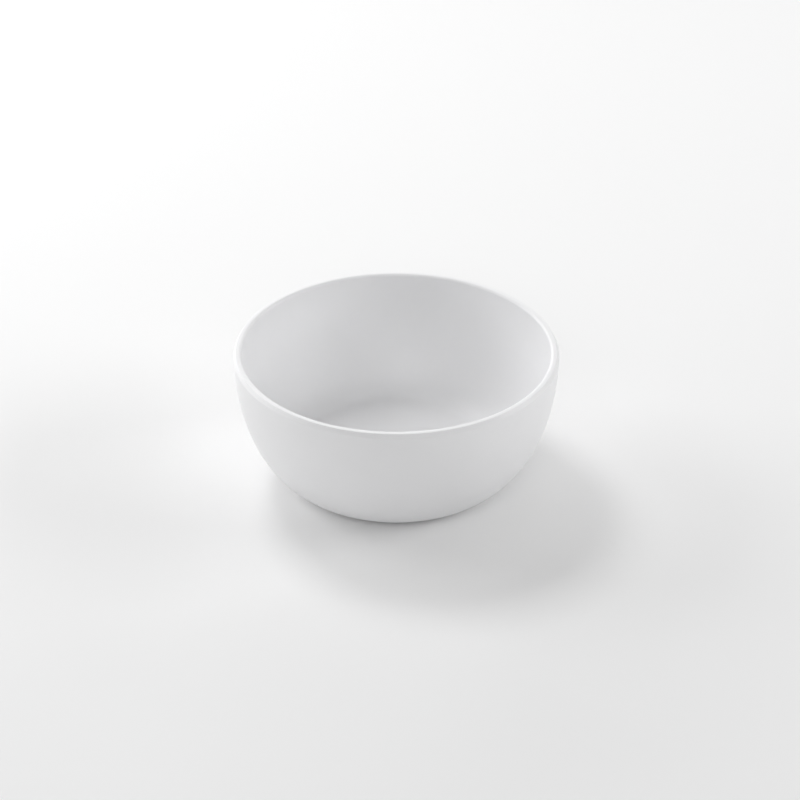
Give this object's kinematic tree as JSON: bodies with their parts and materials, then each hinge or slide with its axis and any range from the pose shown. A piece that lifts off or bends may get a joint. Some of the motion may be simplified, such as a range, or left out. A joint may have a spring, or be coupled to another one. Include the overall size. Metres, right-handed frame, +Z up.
{
  "type": "shaving bowl",
  "caption": "Round matte shaving bowl with a flat lathering floor, a sloped rim band and a non-slip ring under its foot.",
  "frame": {"origin": "centre of the circle that the bowl stands on, at the level of the table", "axes": "+Z up along the axis of revolution, through the mouth; X and Y are free, because every piece is round"},
  "size_m": [0.12, 0.12, 0.052],
  "materials": {
    "bowl_plastic": "matte white moulded melamine",
    "ring_rubber": "soft pale grey silicone"
  },
  "bodies": {
    "root": {"bowl_body": "bowl_plastic", "non_slip_ring": "ring_rubber"}
  },
  "joints": []
}
